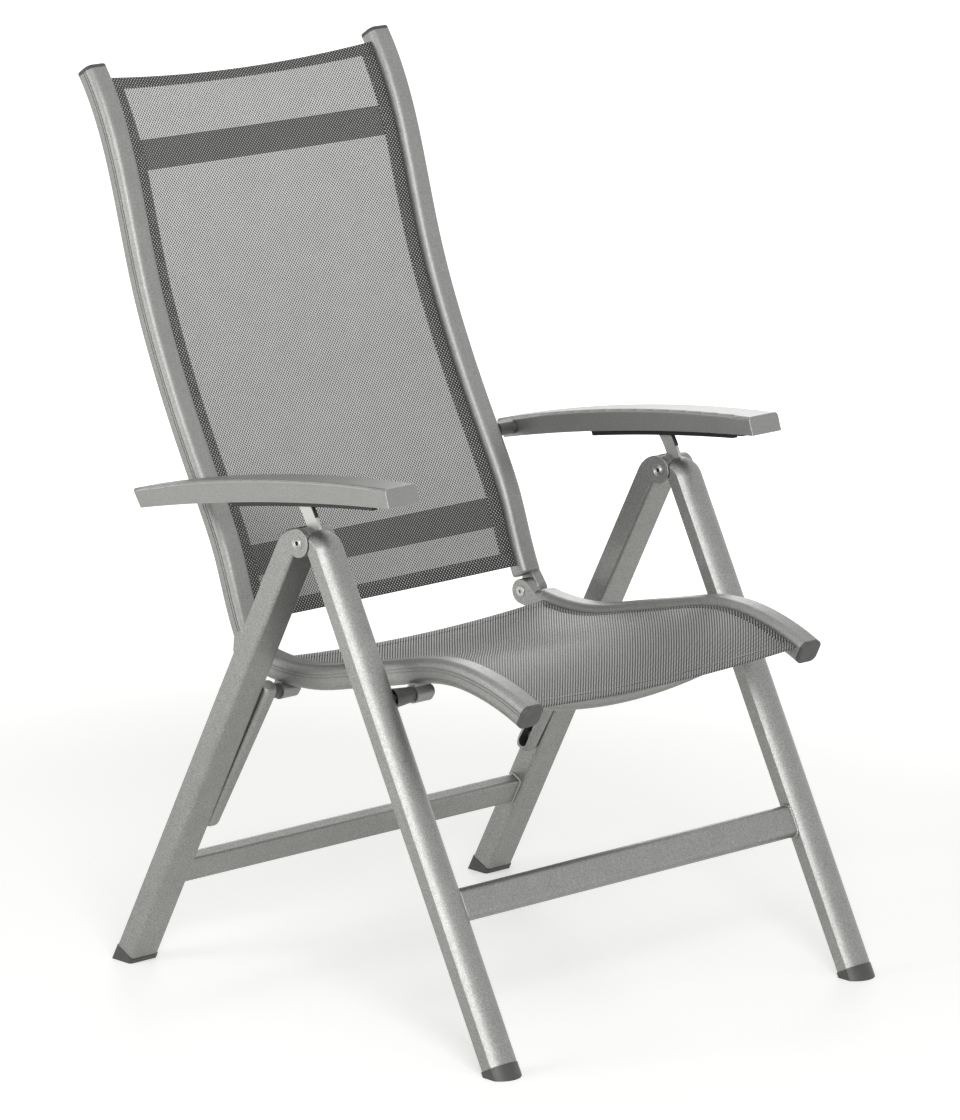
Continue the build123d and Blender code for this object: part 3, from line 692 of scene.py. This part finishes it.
stations = [(link_low + run, size) for run, size in link_end]
straight = np.linspace(link_low + link_straight, link_high - link_straight, link_stations)
stations += [(run, 1.0) for run in straight]
stations += [(link_high - run, size) for run, size in reversed(link_end)]
slot_outline = []
for k in range(slot_steps + 1):
    turn = radians(180 + 180 * k / slot_steps)
    slot_outline.append(
        (slot_low + slot_half_wide + slot_half_wide * sin(turn), slot_half_wide * cos(turn))
    )
slot_outline += [(slot_high, side_way * slot_half_wide * slot_taper) for side_way in (1, -1)]
for side, sign in sides.items():
    rings = [
        [
            on_link(sign, x, run, out * size)
            for x, out in rounded_ring(link_wide, link_deep, link_corner)
        ]
        for run, size in stations
    ]
    strut = lofted("link_strut_" + side, rings)
    strut.data.materials.append(frame_coat)
    cutter = lofted(
        "slot_cutter",
        [[on_link(sign, x, *point) for point in slot_outline] for x in (-link_wide, link_wide)],
    )
    cutter.data.materials.append(dark_polypropylene)
    cut_out(strut, cutter)
    sharpened(strut, 35)
    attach(strut, "link_" + side)
    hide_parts("link_" + side)
dress(zinc_plate, *pair("link_bolt"))
dress(dark_polypropylene, *pair("front_pivot_bolt"), *pair("rear_pivot_bolt"), *pair("rear_spacer"))
front_pivot = (-0.177114, 0.402593)
spacer_profile = [
    (0.0120, 0.0), (0.0122, 0.0010), (0.0118, 0.0022),
    (0.0092, 0.0315), (0.0086, 0.0330), (0.0045, 0.0331),
]
for side, sign in sides.items():
    spacer_foot = (sign * leg_inner_x, *front_pivot)
    # The spacer's flat tip takes the same near-black painted shade as the rivet holes.
    spacer = turned(
        "front_spacer_cone_" + side, spacer_profile, spacer_foot, -sign, dark_polypropylene, 0
    )
    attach(spacer, "front_frame")
    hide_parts("front_spacer_" + side)


# Back hinges: two die-cast aluminium halves side by side, one in the rail's end and one in the back
# tube's foot, each a round eye on a short neck, coated like the legs.
back_hinge, rail_inner_x, rail_outer_x = (0.108665, 0.399004), 0.2205, 0.2535
hinge_middle_x, eye_radius, eye_gap, eye_chamfer = 0.2370, 0.0155, 0.00015, 0.0010
eye_segments, neck_corner, grip_inset, grip_reach, grip_steps = 64, 0.0085, 0.0006, 0.001, 9
# The neck leans towards the side of the tube that its eye grips. Its sections are given by their
# share of its length, and by their width and depth as shares of the tube's.
neck_lean = 0.2
neck_sections = ((0.0, 1.0, 1.0), (0.5, 0.985, 0.97), (0.85, 0.95, 0.90), (1.0, 0.90, 0.80))


def hinge_half(name, tube_end, tube_angle, tube_deep, neck, grip, x_low, x_high, sign):
    """An eye on one half of the hinge's width, held over a grip of the tube's end, and a neck.
    neck is the neck's signed length along the tube; grip is from and to in shares of its depth."""
    way = Vector((cos(radians(tube_angle)), sin(radians(tube_angle))))
    up = Vector((-way.y, way.x))

    def on_tube(x, out, run):
        """A point by metres across the chair, out from the tube's middle and along the tube."""
        y = tube_end[0] + way.x * run + up.x * out
        return (sign * x, y, tube_end[1] + way.y * run + up.y * out)

    middle, lean = (rail_inner_x + rail_outer_x) / 2, sum(grip) * neck_lean * tube_deep
    rings = [
        [
            on_tube(middle + x * across, out * thick + lean * share, neck * share)
            for x, out in rounded_ring(rail_outer_x - rail_inner_x, tube_deep, neck_corner)
        ]
        for share, across, thick in neck_sections
    ]
    neck_part = sharpened(lofted("neck", rings), 50)
    shell = bmesh.new()
    for x, radius in (
        (x_low, eye_radius - eye_chamfer),
        (x_low + eye_chamfer, eye_radius),
        (x_high - eye_chamfer, eye_radius),
        (x_high, eye_radius - eye_chamfer),
    ):
        for k in range(eye_segments):
            turn = 2 * pi * k / eye_segments
            y, z = back_hinge[0] + radius * cos(turn), back_hinge[1] + radius * sin(turn)
            shell.verts.new((sign * x, y, z))
    for x in (x_low + grip_inset, x_high - grip_inset):
        for share in np.linspace(*grip, grip_steps):
            shell.verts.new(on_tube(x, share * tube_deep, grip_reach if neck > 0 else -grip_reach))
    bmesh.ops.convex_hull(shell, input=shell.verts[:])
    inside = [v for v in shell.verts if not v.link_faces]
    bmesh.ops.delete(shell, geom=inside, context="VERTS")
    bmesh.ops.recalc_face_normals(shell, faces=shell.faces)
    eye_mesh = bpy.data.meshes.new("eye")
    shell.to_mesh(eye_mesh)
    shell.free()
    eye = bpy.data.objects.new("eye", eye_mesh)
    bpy.context.scene.collection.objects.link(eye)
    half = joined(name, neck_part, sharpened(eye, 30))
    half.data.materials.append(frame_coat)
    return half


rail_end, rail_end_angle, rail_deep, rail_neck = (0.076699, 0.391009), 9.369, 0.0300, 0.0125
tube_foot, tube_foot_angle, tube_deep, tube_neck = (0.116347, 0.421603), 63.724, 0.0270, -0.0045
rail_grip, tube_grip = (-0.42, 0.08), (-0.28, 0.28)
seat_half_x = rail_inner_x, hinge_middle_x - eye_gap
back_half_x = hinge_middle_x + eye_gap, rail_outer_x
for side, sign in sides.items():
    seat_half = hinge_half(
        "seat_hinge_casting_" + side,
        rail_end, rail_end_angle, rail_deep, rail_neck, rail_grip, *seat_half_x, sign,
    )
    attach(seat_half, "seat")
    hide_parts("seat_knuckle_" + side)
    back_half = hinge_half(
        "back_hinge_casting_" + side,
        tube_foot, tube_foot_angle, tube_deep, tube_neck, tube_grip, *back_half_x, sign,
    )
    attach(back_half, "back")
    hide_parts("back_knuckle_" + side)


# Back hinge rivets: bright tubular rivets through both eyes, fast in the seat's half. Zinc-plated
# steel, with a flat rim and a small hole in the middle painted near-black as painted shade.
back_rivet_profile = [
    (0.0069, 0.0), (0.0069, 0.0008), (0.0062, 0.0013),
    (0.0024, 0.0014), (0.0019, 0.0010), (0.0018, -0.0030),
]
inner_head_x, outer_head_x = rail_inner_x, rail_outer_x + 0.0003
for side, sign in sides.items():
    inner_foot, outer_foot = (sign * inner_head_x, *back_hinge), (sign * outer_head_x, *back_hinge)
    heads = [
        turned("head", back_rivet_profile, inner_foot, -sign, zinc_plate, 1),
        turned("head", back_rivet_profile, outer_foot, sign, zinc_plate, 1),
    ]
    rivet = joined("back_hinge_rivet_" + side, *heads)
    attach(rivet, "seat")
    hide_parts("back_rivet_" + side)


# Back tubes: the same rounded tube in a longer S, capped at the top, with the back's crossbars
# behind the sling's dark bands. The same coat as the rails.
dress(tube_coat, "back_upper_bar", "back_lower_bar", *pair("back_tube"))
dress(dark_polypropylene, *pair("back_cap"))


# Back sling: one sheet woven of coated polyester yarn, light with a dark band below the top and
# another above the foot, stretched between the back tubes, a little hollow across. It has a faint
# sheen. Hems of doubled cloth run all round, held by rows of lock stitches in polyester thread.
yarn_height, yarn_strength, yarn_roughness, yarn_ior, yarn_sheen = 0.0004, 0.5, 0.55, 1.53, 0.1
drift_per_metre, drift_depth, cloth_origin = 30.0, 0.03, 1.0
# Light and dark yarns cross in a plain weave, so the light ones show as dots on a diagonal lattice.
# The yarns are about 1 mm apart; the lattice is drawn at 2.2 to 2.4 mm so that it shows.
yarn_pitch, hem_pitch = 0.0022, 0.0024


def woven_sling(name, dark, light, share, softness, pitch, reach, foot_painted_shade, head_painted_shade):
    """Weave of dark and light coated yarns; share is how much the light ones show.
    The tone is also painted darker at the cloth's foot and lighter at its head, over its reach:
    painted shade and painted light."""
    material = bpy.data.materials.new(name)
    material.use_nodes = True
    tree = material.node_tree
    shader = tree.nodes["Principled BSDF"]
    cloth = add(tree, "ShaderNodeUVMap", uv_map="cloth_metres").outputs[0]
    ways = add(tree, "ShaderNodeSeparateXYZ", {0: cloth})
    waves = []
    for way in ("X", "Y"):
        scaled = add(
            tree, "ShaderNodeMath", {0: ways.outputs[way], 1: pi / pitch}, operation="MULTIPLY"
        )
        wave = add(tree, "ShaderNodeMath", {0: scaled.outputs[0]}, operation="SINE")
        waves.append(wave.outputs[0])
    crossing = add(tree, "ShaderNodeMath", {0: waves[0], 1: waves[1]}, operation="MULTIPLY")
    level = 1 - 2 * share
    light_on_top = add(
        tree,
        "ShaderNodeMapRange",
        {
            "Value": crossing.outputs[0],
            "From Min": level - softness,
            "From Max": level + softness,
        },
        interpolation_type="SMOOTHSTEP",
    )
    place = add(tree, "ShaderNodeTexCoord").outputs["Object"]
    drift = add(
        tree, "ShaderNodeTexNoise", {"Vector": place, "Scale": drift_per_metre, "Detail": 4.0}
    )
    fade = add(
        tree,
        "ShaderNodeMapRange",
        {
            "Value": drift.outputs["Fac"],
            "From Min": noise_low,
            "From Max": noise_high,
            "To Min": 1 - drift_depth,
            "To Max": 1 + drift_depth,
        },
    )
    yarns = add(
        tree,
        "ShaderNodeMix",
        {0: light_on_top.outputs[0], 6: linear(dark), 7: linear(light)},
        data_type="RGBA",
    )
    # Painted shade and light: the tone runs from the foot's painted shade to the head's painted
    # light.
    painted_shade_run = add(
        tree,
        "ShaderNodeMapRange",
        {
            "Value": ways.outputs["Y"],
            "From Min": cloth_origin,
            "From Max": cloth_origin + reach,
            "To Min": foot_painted_shade,
            "To Max": head_painted_shade,
        },
    )
    shade = add(
        tree,
        "ShaderNodeMath",
        {0: fade.outputs[0], 1: painted_shade_run.outputs[0]},
        operation="MULTIPLY",
    )
    tint = add(
        tree,
        "ShaderNodeVectorMath",
        {0: yarns.outputs[2], "Scale": shade.outputs[0]},
        operation="SCALE",
    )
    round_yarn = add(tree, "ShaderNodeMath", {0: crossing.outputs[0]}, operation="ABSOLUTE")
    bump = add(
        tree,
        "ShaderNodeBump",
        {"Strength": yarn_strength, "Distance": yarn_height, "Height": round_yarn.outputs[0]},
    )
    tree.links.new(tint.outputs[0], shader.inputs["Base Color"])
    tree.links.new(bump.outputs[0], shader.inputs["Normal"])
    shader.inputs["Roughness"].default_value = yarn_roughness
    shader.inputs["IOR"].default_value = yarn_ior
    shader.inputs["Sheen Weight"].default_value = yarn_sheen
    return material


# The back's weaves are painted darker at the foot and lighter at the top, as painted shade and
# light.
back_reach = 0.68
light_weave = woven_sling(
    "sling_light_weave",
    "#2a2a29",
    "#e6e6e5",
    share=0.55,
    softness=0.13,
    pitch=yarn_pitch,
    reach=back_reach,
    foot_painted_shade=0.80,
    head_painted_shade=1.10,
)
dark_weave = woven_sling(
    "sling_dark_weave",
    "#121212",
    "#b4b4b2",
    share=0.36,
    softness=0.12,
    pitch=yarn_pitch,
    reach=back_reach,
    foot_painted_shade=0.90,
    head_painted_shade=1.0,
)
hem_weave = woven_sling(
    "sling_hem_weave",
    "#020202",
    "#d8d8d6",
    share=0.25,
    softness=0.08,
    pitch=hem_pitch,
    reach=back_reach,
    foot_painted_shade=0.95,
    head_painted_shade=1.0,
)
sling_half, cloth_thickness, hem_thickness, cloth_steps = 0.2202, 0.0012, 0.0022, 56
curve_samples, tangent_step, dip_reach = 801, 0.004, 0.06


def natural_curve(points):
    """The smooth side-view curve through points, as a function of its share from 0 to 1."""
    p = np.array(points, float)
    runs = np.concatenate(([0], np.cumsum(np.hypot(*np.diff(p, axis=0).T))))
    h, count = np.diff(runs), len(p)
    left, right = np.eye(count), np.zeros((count, 2))
    for i in range(1, count - 1):
        left[i, i - 1 : i + 2] = h[i - 1], 2 * (h[i - 1] + h[i]), h[i]
        right[i] = 6 * ((p[i + 1] - p[i]) / h[i] - (p[i] - p[i - 1]) / h[i - 1])
    bend = np.linalg.solve(left, right)

    def place(share):
        run = np.asarray(share, float) * runs[-1]
        i = np.clip(np.searchsorted(runs, run) - 1, 0, count - 2)
        x, s = (run - runs[i])[..., None], h[i][..., None]
        slope = (p[i + 1] - p[i]) / s - s * (2 * bend[i] + bend[i + 1]) / 6
        return p[i] + x * slope + x**2 * bend[i] / 2 + x**3 * (bend[i + 1] - bend[i]) / (6 * s)

    return place


class Sling:
    """A stretched sheet's middle surface between two side tubes, by metres across and along."""

    def __init__(self, points, shares, lift, sag, top_dip=0.0):
        self.lift, self.sag, self.top_dip = lift, sag, top_dip
        self.line = natural_curve(points)(np.linspace(*shares, curve_samples))
        self.runs = np.concatenate(([0], np.cumsum(np.hypot(*np.diff(self.line, axis=0).T))))
        self.length = float(self.runs[-1])

    def on_line(self, along):
        """The side-view point at metres along the sheet."""
        return np.array([np.interp(along, self.runs, self.line[:, i]) for i in (0, 1)])

    def at(self, across, along, out=0.0):
        """The point at metres across and along, raised by out on the sitter's side."""
        hollow = 1 - (across / sling_half) ** 2
        near_top = max(0.0, 1 - (self.length - along) / dip_reach)
        along = along - self.top_dip * near_top**2 * hollow
        y, z = self.on_line(along)
        low, high = max(along - tangent_step, 0), min(along + tangent_step, self.length)
        way = self.on_line(high) - self.on_line(low)
        way /= np.hypot(*way)
        rise = self.lift - self.sag * hollow + out
        return Vector((across, y - way[1] * rise, z + way[0] * rise))

    def strip(self, name, across, rows, cross_steps, thickness, material):
        """A strip of the cloth with a real thickness and its own cloth coordinates."""
        columns = np.linspace(*across, cross_steps + 1)
        wide = len(columns)
        vertices = [self.at(x, v) for v in rows for x in columns]
        faces = [
            (r * wide + c, r * wide + c + 1, (r + 1) * wide + c + 1, (r + 1) * wide + c)
            for r in range(len(rows) - 1)
            for c in range(wide - 1)
        ]
        made = mesh_object(name, vertices, faces)
        layer = made.data.uv_layers.new(name="cloth_metres")
        for loop in made.data.loops:
            r, c = divmod(loop.vertex_index, wide)
            layer.data[loop.index].uv = (columns[c] + cloth_origin, rows[r] + cloth_origin)
        solid = made.modifiers.new("thickness", "SOLIDIFY")
        solid.thickness, solid.offset = thickness, 0.0
        made.data.materials.append(material)
        return made

    def hems(self, ends, end_steps, end_weave, side_stem, side_deep, side_rows, side_steps):
        """Doubled cloth round the edge: foot and head, each by name and depth, and both sides."""
        (foot_name, foot), (head_name, head) = ends
        wide = (-sling_half, sling_half)
        foot_rows = np.linspace(0, foot, end_steps + 1)
        head_rows = np.linspace(self.length - head, self.length, end_steps + 1)
        rows = np.linspace(foot, self.length - head, side_rows + 1)
        made = [
            self.strip(foot_name, wide, foot_rows, cloth_steps, hem_thickness, end_weave),
            self.strip(head_name, wide, head_rows, cloth_steps, hem_thickness, end_weave),
        ]
        for side, sign in sides.items():
            across = (sign * (sling_half - side_deep), sign * sling_half)[::sign]
            made.append(
                self.strip(side_stem + side, across, rows, side_steps, hem_thickness, hem_weave)
            )
        return made


stitch_pitch, stitch_long, stitch_half, stitch_start = 0.0042, 0.0030, 0.00042, 0.004
stitch_proud, stitch_sunk, hem_face = 0.0005, 0.0003, hem_thickness / 2


def stitches(name, sling, side_rows, cross_rows, cross_half, thread):
    """Rows of lock stitches, short raised threads: side_rows by metres from the middle, and
    cross_rows by metres from the foot."""
    rows = [
        ((sign * x, stitch_start), (sign * x, sling.length - stitch_start))
        for sign in (-1, 1)
        for x in side_rows
    ]
    rows += [((-cross_half, at), (cross_half, at)) for at in cross_rows]
    vertices, faces = [], []
    for start, end in np.array(rows):
        long = np.hypot(*(end - start))
        way = (end - start) / long
        half_wide = np.array([-way[1], way[0]]) * stitch_half
        for k in range(int(long / stitch_pitch)):
            middle = start + way * (k + 0.5) * stitch_pitch
            base = len(vertices)
            vertices += [
                sling.at(*(middle - way * stitch_long / 2), hem_face),
                sling.at(*(middle + half_wide), hem_face),
                sling.at(*middle, hem_face + stitch_proud),
                sling.at(*(middle - half_wide), hem_face),
                sling.at(*middle, hem_face - stitch_sunk),
                sling.at(*(middle + way * stitch_long / 2), hem_face),
            ]
            for j in range(4):
                faces.append((base, base + 1 + j, base + 1 + (j + 1) % 4))
                faces.append((base + 5, base + 1 + (j + 1) % 4, base + 1 + j))
    made = mesh_object(name, vertices, faces)
    made.data.materials.append(thread)
    return made


# The sling covers all but the ends of the tubes' curve, and its top edge dips a little in the
# middle. Places along the cloth are measured from its foot.
back_points = [
    (0.1163, 0.4216), (0.1347, 0.4650), (0.1527, 0.5120), (0.1787, 0.5620), (0.2212, 0.6370),
    (0.2627, 0.7180), (0.3012, 0.8088), (0.3307, 0.9000), (0.3557, 0.9730), (0.4012, 1.0580),
]
on_tubes = (0.012, 0.985)
back = Sling(back_points, on_tubes, lift=0.0020, sag=0.0070, top_dip=0.0080)
lower_band, upper_band = (0.0526, 0.0902), (0.5613, 0.5988)
hem_foot, hem_top, hem_side, row_pitch, fewest_rows = 0.0180, 0.0150, 0.0200, 0.004, 4
edges = [0.0, *lower_band, *upper_band, back.length]
back_rows = []
for low, high in zip(edges, edges[1:]):
    steps = max(fewest_rows, round((high - low) / row_pitch))
    back_rows += list(np.linspace(low, high, steps, endpoint=False))
back_rows.append(back.length)
back_cloth = back.strip(
    "back_fabric", (-sling_half, sling_half), back_rows, cloth_steps, cloth_thickness, light_weave
)
back_cloth.data.materials.append(dark_weave)
for face in back_cloth.data.polygons:
    row = face.index // cloth_steps
    middle = (back_rows[row] + back_rows[row + 1]) / 2
    face.material_index = int(any(low < middle < high for low, high in (lower_band, upper_band)))
back_hems = back.hems(
    (("back_foot_hem", hem_foot), ("back_top_hem", hem_top)),
    end_steps=6,
    end_weave=hem_weave,
    side_stem="back_side_hem_",
    side_deep=hem_side,
    side_rows=150,
    side_steps=6,
)
sewing_thread = moulded_plastic("polyester_sewing_thread", "#8d8d8a", 0.6, 0.0004)
inner, side_insets, end_inset = sling_half - hem_side, (0.0025, 0.0070), 0.003
back_hems.append(
    stitches(
        "back_stitching",
        back,
        side_rows=[inner + inset for inset in side_insets],
        cross_rows=(hem_foot - end_inset, back.length - hem_top + end_inset),
        cross_half=inner,
        thread=sewing_thread,
    )
)
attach(back_cloth, "back")
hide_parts("back_sling")
for piece in back_hems:
    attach(piece, "back")


# Seat sling: one sheet of the same cloth in a darker weave, hemmed all round with dark thread. It
# starts behind the rails' front caps and ends ahead of the back hinge.
# The seat's weave is painted darker at the front and lighter at the rear, as painted shade and
# light.
seat_weave = woven_sling(
    "sling_seat_weave",
    "#060606",
    "#dcdcda",
    share=0.38,
    softness=0.10,
    pitch=yarn_pitch,
    reach=0.43,
    foot_painted_shade=0.76,
    head_painted_shade=1.24,
)
seat_points = [
    (-0.3563, 0.4110), (-0.2923, 0.4325), (-0.2353, 0.4387), (-0.1433, 0.4210),
    (-0.0753, 0.4040), (-0.0143, 0.3900), (0.0337, 0.3872), (0.0767, 0.3910),
]
seat = Sling(seat_points, on_tubes, lift=0.0040, sag=0.0090)
seat_hem, seat_side_hem, seat_rows = 0.013, 0.012, 110
seat_cloth = seat.strip(
    "seat_fabric",
    (-sling_half, sling_half),
    np.linspace(0, seat.length, seat_rows + 1),
    cloth_steps,
    cloth_thickness,
    seat_weave,
)
seat_hems = seat.hems(
    (("seat_front_hem", seat_hem), ("seat_rear_hem", seat_hem)),
    end_steps=5,
    end_weave=seat_weave,
    side_stem="seat_side_hem_",
    side_deep=seat_side_hem,
    side_rows=seat_rows,
    side_steps=5,
)
dark_thread = moulded_plastic("dark_sewing_thread", "#262625", 0.6, 0.0004)
side_row, end_row, end_row_half = sling_half - 0.009, 0.0105, 0.208
seat_hems.append(
    stitches(
        "seat_stitching",
        seat,
        side_rows=[side_row],
        cross_rows=(end_row, seat.length - end_row),
        cross_half=end_row_half,
        thread=dark_thread,
    )
)
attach(seat_cloth, "seat")
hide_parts("seat_sling")
for piece in seat_hems:
    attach(piece, "seat")


# Armrests: arched aluminium sections with a smooth satin powder coat, on pivots at the back tubes,
# with black nylon racks under them that ride on the posts' pins.
# The satin coat keeps the painted highlight along the armrests' edges, at the default edge_light.
arm_coat = silver_powder_coat(
    "satin_silver_coat", "#878785", "#a9a9a7", roughness=0.44, metallic=0.8, flake_strength=0.12
)
dress(arm_coat, *pair("armrest"))
dress(black_nylon, *pair("arm_rack"))
dress(dark_polypropylene, *pair("arm_pivot_bolt"))


# The box round every shown piece, leaving out the floor.
low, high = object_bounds()
